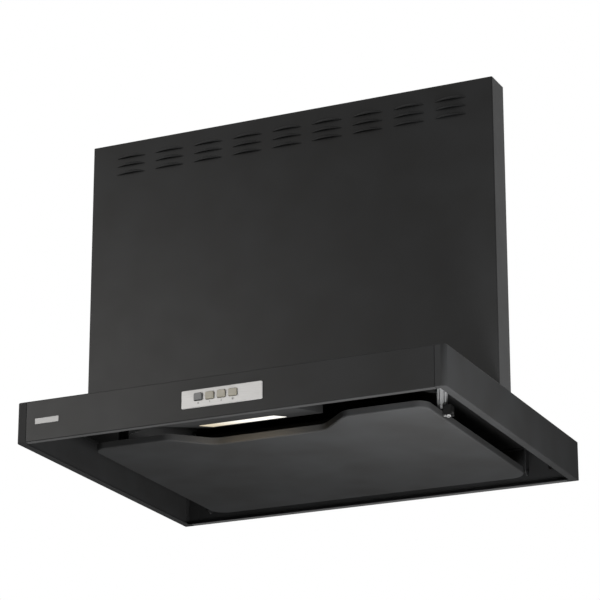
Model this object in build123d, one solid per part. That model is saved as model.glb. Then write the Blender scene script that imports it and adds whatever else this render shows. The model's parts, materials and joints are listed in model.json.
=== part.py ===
from build123d import *
import math
import os

# Range hood hung on a wall: a shallow canopy with a flow panel below it, a fan box above its rear
# half, and a curtain panel with louvres that hides the fan box. Millimetres. X runs to the right,
# Y into the wall, whose face is Y = 0, and Z up from the lower rim of the canopy. The finished
# pieces are moved down so that the origin is the middle of the wall screw holes.

# Overall size and sheet
WIDTH = 750.0
DEPTH = 600.0
HEIGHT = 600.0
SHEET = 1.0
FIT = 0.3
RUNNING_FIT = 0.05
OVER = 5.0

# Canopy shell
RIM_HEIGHT = 68.0
RIM_BEND = 1.3
CORNER_RADIUS = 8.0
FRONT_LIP = 11.0
SIDE_LIP = 13.0
REAR_LIP = 13.0
TOP_FLANGE = 12.0
SEAM_INSET = 18.0
SEAM_GAP = 0.6
JOINER_MARGIN = 0.5
JOINER_END_GAP = 3.0

# Blank badge on the front
BADGE_INSET = 35.0
BADGE_WIDTH = 43.5
BADGE_HEIGHT = 9.6
BADGE_Z = 32.8
BADGE_THICKNESS = 0.8
BADGE_RADIUS = 1.0
BADGE_EDGE = 0.25

# Switch plate, its box and the push buttons
SWITCH_X = -2.5
SWITCH_Z = 33.5
SWITCH_WIDTH = 141.0
SWITCH_HEIGHT = 29.4
SWITCH_THICKNESS = 2.5
SWITCH_RADIUS = 2.0
SWITCH_BEVEL = 0.8
SWITCH_BOX_WIDTH = 118.0
SWITCH_BOX_HEIGHT = 24.0
SWITCH_BOX_DEPTH = 25.0
SWITCH_BOX_WALL = 1.5
BUTTON_COUNT = 4
BUTTON_PITCH = 20.2
FIRST_BUTTON_X = -43.1
BUTTON_Z = 35.7
BUTTON_WIDTH = 13.6
BUTTON_HEIGHT = 11.2
BUTTON_RADIUS = 1.6
BUTTON_EDGE = 0.7
BUTTON_PROUD = 3.2
BUTTON_GAP = 1.2
BUTTON_COLLAR = 2.2
BUTTON_COLLAR_THICKNESS = 1.5
BUTTON_TRAVEL = 2.5
STEM_RADIUS = 2.5
STEM_LENGTH = 8.0
BOARD_THICKNESS = 1.6
BOARD_POST_RADIUS = 2.0
BOARD_POST_INSET = 5.0
BOARD_POST_LENGTH = 3.0
TACT_SIZE = 6.0

# Lamp housing, cover and bulb
LAMP_FRONT_HALF = 120.0
LAMP_REAR_HALF = 102.0
LAMP_DEPTH = 141.0
LAMP_RISE = 33.0
LAMP_TAB = 8.0
LENS_X = -20.5
LENS_WIDTH = 132.0
LENS_LENGTH = 50.0
LENS_SET = 100.0
LENS_PROUD = 0.6
LENS_FLANGE = 3.0
LENS_FLANGE_THICKNESS = 1.5
LENS_CATCH_LENGTH = 13.0
LENS_CATCH_WIDTH = 6.0
LENS_CATCH_THICKNESS = 1.5
LENS_CATCH_GAP = 4.0
LENS_CATCH_RADIUS = 1.75
BULB_RADIUS = 14.0
BULB_LENGTH = 62.0
BULB_CAP_RADIUS = 8.5
BULB_CAP_LENGTH = 18.0
BULB_NECK_LENGTH = 14.0
BULB_ROOF_GAP = 4.0
BULB_SET = 103.0
SOCKET_X = 20.0
SOCKET_WALL = 3.0
SOCKET_LENGTH = 26.0
SOCKET_FOOT = 18.0

# Flow panel below the canopy, hinged at its rear
PANEL_SIDE_SET = 79.0
PANEL_FRONT_SET = 112.0
PANEL_REAR_SET = 32.0
PANEL_Z = 7.5
PANEL_RIM = 12.0
PANEL_FRONT_RADIUS = 20.0
PANEL_REAR_RADIUS = 28.0
PANEL_EDGE_RADIUS = 3.0
NOTCH_OUTER_HALF = 155.0
NOTCH_INNER_HALF = 98.0
NOTCH_DEPTH = 56.0
NOTCH_RADIUS = 28.0
HINGE_SET = 16.0
HINGE_HEIGHT = 6.0
HINGE_PIN_RADIUS = 3.0
HINGE_GAP = 3.0
HINGE_PLATE = 1.6
HINGE_EAR = 8.0
HINGE_FOOT = 18.0
HINGE_PIN_PROUD = 2.0

# Snap catches that hold the front of the flow panel
CATCH_SET = 187.0
CATCH_WIDTH = 15.0
CATCH_DEPTH = 8.0
CATCH_SHEET = 1.2
CATCH_CLEARANCE = 4.0
RIGHT_CATCH_INBOARD = 9.0
LEFT_CATCH_INBOARD = 24.0
CATCH_SLOT_SET = 2.6
CATCH_SLOT_WIDTH = 1.6
CLIP_RISE = 5.0
JAW_WIDTH = 14.0
JAW_DEPTH = 14.0
CLIP_BELOW = 1.0
CLIP_NECK = 2.5
STUD_RADIUS = 2.5
STUD_LENGTH = 8.2
BALL_RADIUS = 4.4
BALL_CLEARANCE = 0.6
LEAF_THICKNESS = 1.0
LEAF_LENGTH = 24.0
LEAF_HEIGHT = 12.0
LEAF_FORK = 8.0
LEAF_PRONG = 2.5

# Grease filter under the intake
INTAKE_WIDTH = 340.0
INTAKE_MARGIN = 9.0
FILTER_OVERLAP = 15.0
FILTER_ROOF_GAP = 3.0
FILTER_HEIGHT = 9.0
FILTER_SLOT_ROWS = 2
FILTER_SLOT_PITCH = 13.0
FILTER_SLOT_WIDTH = 5.0
FILTER_SLOT_BORDER = 14.0
FILTER_RAIL_LEDGE = 7.0
FILTER_RAIL_SHEET = 1.2
HANDLE_WIDTH = 70.0
HANDLE_DROP = 14.0
HANDLE_LIP = 8.0
HANDLE_SET = 12.0
HANDLE_THICKNESS = 1.5

# Fan box behind the curtain panel
FAN_BOX_WIDTH = 440.0
FAN_BOX_DEPTH = 310.0
FAN_BOX_HEIGHT = 472.0
WALL_HOLE_RADIUS = 3.5
WALL_HOLE_INSET = 50.0
WALL_HOLE_LOW = 60.0
WALL_HOLE_HIGH = 430.0

# Scroll casing, fan and motor
SCROLL_BACK_SET = 20.0
SCROLL_WIDTH = 130.0
SCROLL_GAP = 17.0
SCROLL_STEP = 30.0
TONGUE_ANGLE = 60.0
FAN_X = -62.0
FAN_HEIGHT = 194.0
FAN_RADIUS = 105.0
FAN_WIDTH = 104.0
FAN_REAR_GAP = 15.0
FAN_RING = 3.0
FAN_RING_PROUD = 1.5
FAN_DISC = 2.0
FAN_DISC_SET = 52.0
BLADE_COUNT = 40
BLADE_DEPTH = 17.0
BLADE_THICKNESS = 1.0
BLADE_TILT = 32.0
HUB_RADIUS = 16.0
HUB_LENGTH = 16.0
SHAFT_RADIUS = 5.0
SHAFT_GRIP = 14.0
KNOB_RADIUS = 18.0
KNOB_LENGTH = 20.0
KNOB_EDGE = 4.5
KNOB_FLUTES = 8
KNOB_FLUTE_RADIUS = 4.0
KNOB_FLUTE_SET = 2.0
MOTOR_RADIUS = 50.0
MOTOR_LENGTH = 52.0
MOTOR_BOSS_RADIUS = 18.0
MOTOR_BOSS_LENGTH = 5.0
MOTOR_FLANGE_RADIUS = 62.0
MOTOR_FLANGE_THICKNESS = 3.0
MOTOR_FILLET = 6.0
MOTOR_SCREW_CIRCLE = 56.0
MOTOR_SCREW_RADIUS = 4.0
MOTOR_SCREW_HEIGHT = 2.6
MOTOR_SCREW_COUNT = 4
BELL_GAP = 5.0
BELL_RADIUS = 12.0
BELL_FLANGE = 14.0
BELL_ENTRY = 4.0
CAPACITOR_RADIUS = 17.0
CAPACITOR_LENGTH = 60.0
CAPACITOR_EDGE = 2.8
CAPACITOR_X = -160.0
CAPACITOR_HEIGHT = 402.0

# Outlet collar with its back-draught flaps
COLLAR_RADIUS = 74.0
COLLAR_WALL = 1.2
COLLAR_HEIGHT = 57.0
COLLAR_FLANGE = 8.0
SEAT_HEIGHT = 14.0
SEAT_THICKNESS = 1.5
SEAT_WIDTH = 4.0
FLAP_THICKNESS = 1.0
FLAP_GAP = 2.2
ROD_RADIUS = 2.0
SLEEVE_WALL = 1.4
SLEEVE_COUNT = 4
SLEEVE_GAP = 0.6
SLEEVE_END_GAP = 6.0

# Terminal box and its cable gland
TERMINAL_X = -140.0
TERMINAL_Y = -190.0
TERMINAL_WIDTH = 100.0
TERMINAL_DEPTH = 80.0
TERMINAL_HEIGHT = 36.0
TERMINAL_RADIUS = 4.0
TERMINAL_WALL = 2.0
GLAND_RADIUS = 10.0
GLAND_LENGTH = 18.0
GLAND_BORE = 4.5
GLAND_HEX = 13.0
GLAND_HEX_LENGTH = 6.0

# Curtain panel and its fixings
CURTAIN_GAP = 59.0
CURTAIN_RETURN = 50.0
CURTAIN_FLANGE = 20.0
CURTAIN_BEND = 2.0
LOUVRE_GROUPS = 9
LOUVRE_GROUP_PITCH = 75.0
LOUVRE_ROWS = 3
LOUVRE_ROW_PITCH = 15.0
LOUVRE_LENGTH = 55.0
LOUVRE_RISE = 6.0
LOUVRE_TIP = 0.8
LOUVRE_SHEET = 0.8
LOUVRE_SILL = 3.0
LOUVRE_TOP_SET = 29.0
BRACKET_X = 150.0
BRACKET_WIDTH = 40.0
BRACKET_FLANGE = 26.0
BRACKET_SHEET = 1.5
BRACKET_TOP_SET = 20.0
SCREW_HEAD_RADIUS = 4.5
SCREW_HEAD_HEIGHT = 2.2
SCREW_HEAD_ROUND = 1.3
SCREW_SLOT_LENGTH = 4.5
SCREW_SLOT_WIDTH = 1.1
CURTAIN_SCREW_X = (-300.0, -100.0, 100.0, 300.0)
REAR_SCREW_SET = 49.0
REAR_SCREW_Z = 28.0

# Places that follow from the sizes above
HALF = WIDTH / 2
FRONT = -DEPTH
CEILING = RIM_HEIGHT - SHEET
SEAM_X = HALF - SEAM_INSET
BOX_HALF = FAN_BOX_WIDTH / 2
BOX_FRONT = -FAN_BOX_DEPTH
BOX_TOP = RIM_HEIGHT + FAN_BOX_HEIGHT
SCROLL_BACK = -SCROLL_BACK_SET
SCROLL_FRONT = SCROLL_BACK - SCROLL_WIDTH
SCROLL_TOP = BOX_TOP - SHEET
SCROLL_RADIUS = FAN_RADIUS + SCROLL_GAP
FAN_Z = RIM_HEIGHT + FAN_HEIGHT
FAN_REAR = SCROLL_BACK - FAN_REAR_GAP
FAN_FRONT = FAN_REAR - FAN_WIDTH
DISC_REAR = FAN_REAR - FAN_DISC_SET
HUB_FRONT = DISC_REAR - FAN_DISC / 2 - HUB_LENGTH / 2
HUB_REAR = HUB_FRONT + HUB_LENGTH
FAN_EYE = FAN_RADIUS - BLADE_DEPTH
BELL_THROAT = FAN_EYE - BELL_GAP - SHEET
OUTLET_LEFT = FAN_X + SCROLL_RADIUS * math.cos(math.radians(TONGUE_ANGLE))
OUTLET_RIGHT = FAN_X + SCROLL_RADIUS + 3 * SCROLL_STEP
COLLAR_X = (OUTLET_LEFT + OUTLET_RIGHT) / 2
COLLAR_Y = (SCROLL_FRONT + SCROLL_BACK) / 2
COLLAR_BORE = COLLAR_RADIUS - COLLAR_WALL
FLAP_Z = BOX_TOP + SEAT_HEIGHT + SEAT_THICKNESS + FIT
CURTAIN_BACK = BOX_FRONT - CURTAIN_GAP
CURTAIN_FRONT = CURTAIN_BACK - SHEET
CURTAIN_SCREW_Y = CURTAIN_BACK + CURTAIN_FLANGE / 2
INTAKE_FRONT = BOX_FRONT + SHEET + INTAKE_MARGIN
INTAKE_REAR = SCROLL_FRONT - SHEET - INTAKE_MARGIN
FILTER_HALF = INTAKE_WIDTH / 2 + FILTER_OVERLAP
FILTER_FRONT = INTAKE_FRONT - FILTER_OVERLAP
FILTER_REAR = INTAKE_REAR + FILTER_OVERLAP
FILTER_TOP = CEILING - FILTER_ROOF_GAP
FILTER_BASE = FILTER_TOP - FILTER_HEIGHT
PANEL_HALF = HALF - PANEL_SIDE_SET
PANEL_FRONT = FRONT + PANEL_FRONT_SET
PANEL_REAR = -PANEL_REAR_SET
PANEL_TOP = PANEL_Z + PANEL_RIM
HINGE_Y = PANEL_REAR - HINGE_SET
HINGE_Z = PANEL_Z + HINGE_HEIGHT
CATCH_Y = FRONT + CATCH_SET
CATCH_Z = PANEL_Z + PANEL_RIM / 2
CATCH_BOTTOM = PANEL_TOP + CATCH_CLEARANCE
RIGHT_BALL_X = PANEL_HALF + STUD_LENGTH
LEFT_BALL_X = PANEL_HALF - SHEET - STUD_LENGTH
LAMP_FRONT = FRONT + FRONT_LIP + FIT
LAMP_REAR = LAMP_FRONT + LAMP_DEPTH
LAMP_SLOPE = math.degrees(math.atan2(LAMP_RISE, LAMP_DEPTH))
BULB_Y = LAMP_FRONT + BULB_SET
BULB_Z = CEILING - BULB_ROOF_GAP - BULB_RADIUS
BUTTON_XS = [FIRST_BUTTON_X + i * BUTTON_PITCH for i in range(BUTTON_COUNT)]
BUTTON_FRONT = FRONT - SWITCH_THICKNESS - BUTTON_PROUD
BUTTON_BACK = FRONT + FIT
STEM_END = BUTTON_BACK + BUTTON_COLLAR_THICKNESS + STEM_LENGTH
TACT_FRONT = STEM_END + BUTTON_TRAVEL + FIT
SWITCH_BOX_BACK = FRONT + SWITCH_BOX_DEPTH
BOARD_BACK = SWITCH_BOX_BACK - SWITCH_BOX_WALL - BOARD_POST_LENGTH
WALL_HOLE_X = BOX_HALF - WALL_HOLE_INSET
WALL_HOLE_MIDDLE = RIM_HEIGHT + (WALL_HOLE_LOW + WALL_HOLE_HIGH) / 2

PLACE = Pos(0, 0, -WALL_HOLE_MIDDLE)


def block(x0, x1, y0, y1, z0, z1):
    """Box between two corners."""
    middle = Pos((x0 + x1) / 2, (y0 + y1) / 2, (z0 + z1) / 2)
    return middle * Box(x1 - x0, y1 - y0, z1 - z0)


def rod_x(radius, x0, x1, y, z):
    """Round bar along X."""
    return Pos((x0 + x1) / 2, y, z) * Rot(0, 90, 0) * Cylinder(radius, x1 - x0)


def rod_y(radius, x, y0, y1, z):
    """Round bar along Y."""
    return Pos(x, (y0 + y1) / 2, z) * Rot(90, 0, 0) * Cylinder(radius, y1 - y0)


def rod_z(radius, x, y, z0, z1):
    """Round bar along Z."""
    return Pos(x, y, (z0 + z1) / 2) * Cylinder(radius, z1 - z0)


def rounded_plate(x, z, width, height, radius, y0, y1):
    """Plate facing the front, with rounded corners, from y0 back to y1."""
    outline = RectangleRounded(width, height, radius)
    return Pos(x, y1, z) * extrude(Plane.XZ * outline, y1 - y0)


def mirrored(shape):
    """The same piece on the other side of the centre plane."""
    return mirror(shape, about=Plane.YZ)


def pair(shape):
    """A piece and its mirror image, as one group."""
    return Compound(children=[shape, mirrored(shape)])


def on_side(side, shape):
    """A piece drawn at the right, moved to the side that is named."""
    return mirrored(shape) if side == "left" else shape


def save(name, shape):
    """Write one piece, in the frame of the wall screw holes."""
    export_step(PLACE * shape, f"parts/{name}.step")


def plan_outline(inset):
    """Plan of the canopy, drawn in by inset, with its two front corners rounded."""
    plan = Pos(0, -DEPTH / 2) * Rectangle(WIDTH - 2 * inset, DEPTH - 2 * inset)
    return fillet(plan.vertices().group_by(Axis.Y)[0], CORNER_RADIUS - inset)


def plan_rectangle(x0, x1, y0, y1):
    """Rectangle in plan between two corners."""
    return Pos((x0 + x1) / 2, (y0 + y1) / 2) * Rectangle(x1 - x0, y1 - y0)


def rim_ring():
    """Folded rim of the canopy before it is parted at the seams: wall, lower lip, top flange."""
    plan = plan_outline(0)
    shell = extrude(plan, CEILING)
    shell = fillet(shell.faces().sort_by(Axis.Z)[0].edges(), RIM_BEND)
    hollow = Pos(0, 0, SHEET) * extrude(plan_outline(SHEET), CEILING)
    shell -= fillet(hollow.faces().sort_by(Axis.Z)[0].edges(), RIM_BEND - SHEET)
    mouth = plan_rectangle(-HALF + SIDE_LIP, HALF - SIDE_LIP, FRONT + FRONT_LIP, -REAR_LIP)
    shell -= Pos(0, 0, -OVER) * extrude(mouth, 2 * OVER)
    reach = HALF - TOP_FLANGE
    clear = plan_rectangle(-reach, reach, FRONT + TOP_FLANGE, -TOP_FLANGE)
    flange = Pos(0, 0, CEILING - SHEET) * extrude(plan - clear, SHEET)
    return shell + flange


def canopy():
    """Rim pieces, roof plate and the strips behind the seams."""
    ring = rim_ring()
    seam_side = SEAM_X + SEAM_GAP / 2
    seam_middle = SEAM_X - SEAM_GAP / 2
    tall = (-OVER, RIM_HEIGHT)
    side = ring & block(seam_side, HALF + OVER, FRONT - OVER, OVER, *tall)
    save("side_panel_right", side)
    save("side_panel_left", mirrored(side))
    front = ring & block(-seam_middle, seam_middle, FRONT - OVER, -DEPTH / 2, *tall)
    cut_width = SWITCH_BOX_WIDTH / 2 + FIT
    cut_height = SWITCH_BOX_HEIGHT / 2 + FIT
    front -= block(
        SWITCH_X - cut_width, SWITCH_X + cut_width, FRONT - OVER, FRONT + SHEET + OVER,
        SWITCH_Z - cut_height, SWITCH_Z + cut_height,
    )
    save("front_panel", front)
    save("rear_rail", ring & block(-seam_middle, seam_middle, -DEPTH / 2, OVER, *tall))

    intake = plan_rectangle(-INTAKE_WIDTH / 2, INTAKE_WIDTH / 2, INTAKE_FRONT, INTAKE_REAR)
    save("canopy_top", Pos(0, 0, CEILING) * extrude(plan_outline(0) - intake, SHEET))

    half = SEAM_INSET - CORNER_RADIUS - JOINER_MARGIN
    z0 = SHEET + JOINER_END_GAP
    z1 = CEILING - SHEET - JOINER_END_GAP
    front_strip = block(SEAM_X - half, SEAM_X + half, FRONT + SHEET, FRONT + 2 * SHEET, z0, z1)
    rear_strip = block(SEAM_X - half, SEAM_X + half, -2 * SHEET, -SHEET, z0, z1)
    strips = [front_strip, rear_strip, mirrored(front_strip), mirrored(rear_strip)]
    save("corner_joiners", Compound(children=strips))

    seat = Plane((HALF - REAR_SCREW_SET, -SHEET, REAR_SCREW_Z), z_dir=(0, -1, 0))
    save("canopy_screws", pair(screw_head(seat)))


def screw_head(seat):
    """Pan head with a cross recess, standing on the plane seat."""
    head = extrude(Circle(SCREW_HEAD_RADIUS), SCREW_HEAD_HEIGHT)
    head = fillet(head.faces().sort_by(Axis.Z)[-1].edges(), SCREW_HEAD_ROUND)
    slot = Box(SCREW_SLOT_LENGTH, SCREW_SLOT_WIDTH, SCREW_HEAD_HEIGHT)
    slot += Box(SCREW_SLOT_WIDTH, SCREW_SLOT_LENGTH, SCREW_HEAD_HEIGHT)
    return seat * (head - Pos(0, 0, SCREW_HEAD_HEIGHT) * slot)


def badge():
    """Blank badge plate on the front."""
    x = -HALF + BADGE_INSET + BADGE_WIDTH / 2
    plate = rounded_plate(
        x, BADGE_Z, BADGE_WIDTH, BADGE_HEIGHT, BADGE_RADIUS, FRONT - BADGE_THICKNESS, FRONT
    )
    rim = plate.faces().sort_by(Axis.Y)[0].edges()
    save("badge", fillet(rim, BADGE_EDGE))


def switches():
    """Switch plate with its box, the circuit board and the push buttons."""
    plate = rounded_plate(
        SWITCH_X, SWITCH_Z, SWITCH_WIDTH, SWITCH_HEIGHT, SWITCH_RADIUS,
        FRONT - SWITCH_THICKNESS, FRONT,
    )
    plate = chamfer(plate.faces().sort_by(Axis.Y)[0].edges(), SWITCH_BEVEL)
    for x in BUTTON_XS:
        plate -= rounded_plate(
            x, BUTTON_Z, BUTTON_WIDTH + 2 * BUTTON_GAP, BUTTON_HEIGHT + 2 * BUTTON_GAP,
            BUTTON_RADIUS + BUTTON_GAP, FRONT - SWITCH_THICKNESS - OVER, FRONT + OVER,
        )
    save("switch_plate", plate)

    half = SWITCH_BOX_WIDTH / 2
    tall = SWITCH_BOX_HEIGHT / 2
    wall = SWITCH_BOX_WALL
    box = block(
        SWITCH_X - half, SWITCH_X + half, FRONT, SWITCH_BOX_BACK, SWITCH_Z - tall, SWITCH_Z + tall
    )
    box -= block(
        SWITCH_X - half + wall, SWITCH_X + half - wall, FRONT - OVER, SWITCH_BOX_BACK - wall,
        SWITCH_Z - tall + wall, SWITCH_Z + tall - wall,
    )
    for side in (-1, 1):
        x = SWITCH_X + side * (half - wall - BOARD_POST_INSET)
        box += rod_y(BOARD_POST_RADIUS, x, BOARD_BACK, SWITCH_BOX_BACK, SWITCH_Z)
    save("switch_box", box)

    edge = wall + FIT
    board = block(
        SWITCH_X - half + edge, SWITCH_X + half - edge, BOARD_BACK - BOARD_THICKNESS, BOARD_BACK,
        SWITCH_Z - tall + edge, SWITCH_Z + tall - edge,
    )
    reach = TACT_SIZE / 2
    for x in BUTTON_XS:
        board += block(
            x - reach, x + reach, TACT_FRONT, BOARD_BACK - BOARD_THICKNESS / 2,
            BUTTON_Z - reach, BUTTON_Z + reach,
        )
    save("switch_board", board)

    for i, x in enumerate(BUTTON_XS):
        cap = rounded_plate(
            x, BUTTON_Z, BUTTON_WIDTH, BUTTON_HEIGHT, BUTTON_RADIUS, BUTTON_FRONT, BUTTON_BACK
        )
        cap = fillet(cap.faces().sort_by(Axis.Y)[0].edges(), BUTTON_EDGE)
        collar = rounded_plate(
            x, BUTTON_Z, BUTTON_WIDTH + 2 * BUTTON_COLLAR, BUTTON_HEIGHT + 2 * BUTTON_COLLAR,
            BUTTON_RADIUS, BUTTON_BACK, BUTTON_BACK + BUTTON_COLLAR_THICKNESS,
        )
        stem = rod_y(STEM_RADIUS, x, BUTTON_BACK, STEM_END, BUTTON_Z)
        save(f"button_{i + 1}", cap + collar + stem)


def lamp_wedge(front, rear, lift, narrow):
    """Space above the sloping lamp floor, lifted off it by lift and narrowed at each side."""
    slope = LAMP_RISE / LAMP_DEPTH
    low = slope * (front - LAMP_FRONT) + lift
    high = slope * (rear - LAMP_FRONT) + lift
    top = CEILING + lift
    profile = Polygon((front, low), (rear, high), (rear, top), (front, top), align=None)
    body = extrude(Plane.YZ * profile, LAMP_FRONT_HALF + OVER, both=True)
    f = LAMP_FRONT_HALF - narrow
    r = LAMP_REAR_HALF - narrow
    plan = Polygon((-f, LAMP_FRONT), (f, LAMP_FRONT), (r, LAMP_REAR), (-r, LAMP_REAR), align=None)
    if narrow:
        flare = (LAMP_FRONT_HALF - LAMP_REAR_HALF) / LAMP_DEPTH * OVER
        plan += Polygon(
            (-f - flare, LAMP_FRONT - OVER), (f + flare, LAMP_FRONT - OVER), (f, LAMP_FRONT),
            (-f, LAMP_FRONT), align=None,
        )
    return body & Pos(0, 0, -OVER) * extrude(plan, RIM_HEIGHT + 3 * OVER)


def lamp():
    """Lamp housing under the front of the roof, its lens, catch, socket and bulb."""
    lift = SHEET / math.cos(math.radians(LAMP_SLOPE))
    housing = lamp_wedge(LAMP_FRONT, LAMP_REAR, 0, 0)
    housing -= lamp_wedge(LAMP_FRONT - OVER, LAMP_REAR - SHEET, lift, SHEET)
    on_slope = Pos(LENS_X, LAMP_FRONT + LENS_SET, LENS_SET * LAMP_RISE / LAMP_DEPTH)
    on_slope *= Rot(LAMP_SLOPE, 0, 0)
    housing -= on_slope * Box(LENS_WIDTH, LENS_LENGTH, 4 * SHEET)
    tab_half = LAMP_FRONT_HALF - LAMP_TAB
    tab_end = LAMP_FRONT + 2 * SHEET * LAMP_DEPTH / LAMP_RISE
    tab = block(-tab_half, tab_half, LAMP_FRONT - LAMP_TAB, tab_end, SHEET, 2 * SHEET)
    slope_cut = lamp_wedge(LAMP_FRONT, LAMP_REAR, 0, 0)
    tab = (tab & slope_cut) + (tab & block(-HALF, HALF, FRONT, LAMP_FRONT, 0, CEILING))
    save("lamp_housing", housing + tab)

    plug = block(
        -LENS_WIDTH / 2 + FIT, LENS_WIDTH / 2 - FIT, -LENS_LENGTH / 2 + FIT, LENS_LENGTH / 2 - FIT,
        -LENS_PROUD, SHEET,
    )
    reach_x = LENS_WIDTH / 2 + LENS_FLANGE
    reach_y = LENS_LENGTH / 2 + LENS_FLANGE
    flange = block(-reach_x, reach_x, -reach_y, reach_y, SHEET, SHEET + LENS_FLANGE_THICKNESS)
    save("lamp_cover", on_slope * (plug + flange))

    catch_end = -LENS_WIDTH / 2 - LENS_CATCH_GAP
    catch = block(
        catch_end - LENS_CATCH_LENGTH, catch_end, -LENS_CATCH_WIDTH / 2, LENS_CATCH_WIDTH / 2,
        -LENS_CATCH_THICKNESS, 0,
    )
    catch = fillet(catch.edges().filter_by(Axis.Z), LENS_CATCH_RADIUS)
    save("lamp_cover_catch", on_slope * catch)

    shoulder = -BULB_CAP_LENGTH - BULB_NECK_LENGTH
    straight_end = -BULB_LENGTH + BULB_RADIUS
    nose = BULB_RADIUS / math.sqrt(2)
    line = Polyline(
        (0, 0), (0, BULB_CAP_RADIUS), (-BULB_CAP_LENGTH, BULB_CAP_RADIUS), (shoulder, BULB_RADIUS),
        (straight_end, BULB_RADIUS),
    )
    dome = ThreePointArc(
        (straight_end, BULB_RADIUS), (straight_end - nose, nose), (-BULB_LENGTH, 0)
    )
    axis_line = Line((-BULB_LENGTH, 0), (0, 0))
    bulb = revolve(make_face(line + dome + axis_line), axis=Axis.X)
    cap_end = SOCKET_X + BULB_CAP_LENGTH
    save("lamp_bulb", Pos(cap_end, BULB_Y, BULB_Z) * bulb)

    socket_radius = BULB_CAP_RADIUS + FIT + SOCKET_WALL
    socket = rod_x(socket_radius, SOCKET_X, SOCKET_X + SOCKET_LENGTH, BULB_Y, BULB_Z)
    socket += block(
        SOCKET_X, SOCKET_X + SOCKET_LENGTH, BULB_Y - SOCKET_FOOT / 2, BULB_Y + SOCKET_FOOT / 2,
        BULB_Z, CEILING,
    )
    socket -= rod_x(BULB_CAP_RADIUS + FIT, SOCKET_X - OVER, cap_end, BULB_Y, BULB_Z)
    save("lamp_socket", socket)


def panel_outline(inset):
    """Plan of the flow panel, drawn in by inset: rounded corners and a notch behind the lamp."""
    front = PANEL_FRONT
    notch = PANEL_FRONT + NOTCH_DEPTH
    corners = [
        (PANEL_HALF, PANEL_REAR, PANEL_REAR_RADIUS),
        (PANEL_HALF, front, PANEL_FRONT_RADIUS),
        (NOTCH_OUTER_HALF, front, NOTCH_RADIUS),
        (NOTCH_INNER_HALF, notch, NOTCH_RADIUS),
    ]
    left = [(-x, y, radius) for x, y, radius in reversed(corners)]
    points = [(x, y) for x, y, _ in corners + left]
    radii = [radius for _, _, radius in corners + left]
    face = make_face(FilletPolyline(*points, radius=radii, close=True))
    return offset(face, -inset) if inset else face


def panel_tray(inset, base, top):
    """Solid of the flow panel's outline between two heights, with its lower edge rounded."""
    tray = Pos(0, 0, base) * extrude(panel_outline(inset), top - base)
    return fillet(tray.faces().sort_by(Axis.Z)[0].edges(), PANEL_EDGE_RADIUS - inset)


def flow_panel():
    """Flow panel with its hinge pins, and the brackets that carry it."""
    tray = panel_tray(0, PANEL_Z, PANEL_TOP)
    tray -= panel_tray(SHEET, PANEL_Z + SHEET, PANEL_TOP + OVER)
    save("flow_panel", tray)

    ear_inner = PANEL_HALF + HINGE_GAP
    ear_outer = ear_inner + HINGE_PLATE
    pin = rod_x(HINGE_PIN_RADIUS, PANEL_HALF, ear_outer + HINGE_PIN_PROUD, HINGE_Y, HINGE_Z)
    save("hinge_pins", pair(pin))
    ear = block(
        ear_inner, ear_outer, HINGE_Y - HINGE_EAR, HINGE_Y + HINGE_EAR, HINGE_Z, CEILING
    )
    ear += rod_x(HINGE_EAR, ear_inner, ear_outer, HINGE_Y, HINGE_Z)
    ear += block(
        ear_inner, ear_inner + HINGE_FOOT, HINGE_Y - HINGE_EAR, HINGE_Y + HINGE_EAR,
        CEILING - HINGE_PLATE, CEILING,
    )
    ear -= rod_x(
        HINGE_PIN_RADIUS + RUNNING_FIT, ear_inner - OVER, ear_outer + OVER, HINGE_Y, HINGE_Z
    )
    save("hinge_bracket_right", ear)
    save("hinge_bracket_left", mirrored(ear))


def catches():
    """Snap catches for the front of the flow panel: outside its rim at the right, inside at the left."""
    right_stud = rod_x(STUD_RADIUS, PANEL_HALF, RIGHT_BALL_X, CATCH_Y, CATCH_Z)
    right_stud += Pos(RIGHT_BALL_X, CATCH_Y, CATCH_Z) * Sphere(BALL_RADIUS)
    left_stud = rod_x(STUD_RADIUS, LEFT_BALL_X, PANEL_HALF - SHEET, CATCH_Y, CATCH_Z)
    left_stud += Pos(LEFT_BALL_X, CATCH_Y, CATCH_Z) * Sphere(BALL_RADIUS)
    save("catch_studs", Compound(children=[right_stud, mirrored(left_stud)]))

    right_leaf = catch("right", RIGHT_CATCH_INBOARD, RIGHT_BALL_X)
    left_leaf = catch("left", LEFT_CATCH_INBOARD, LEFT_BALL_X)
    save("catch_leaves", Compound(children=[right_leaf, left_leaf]))


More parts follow.
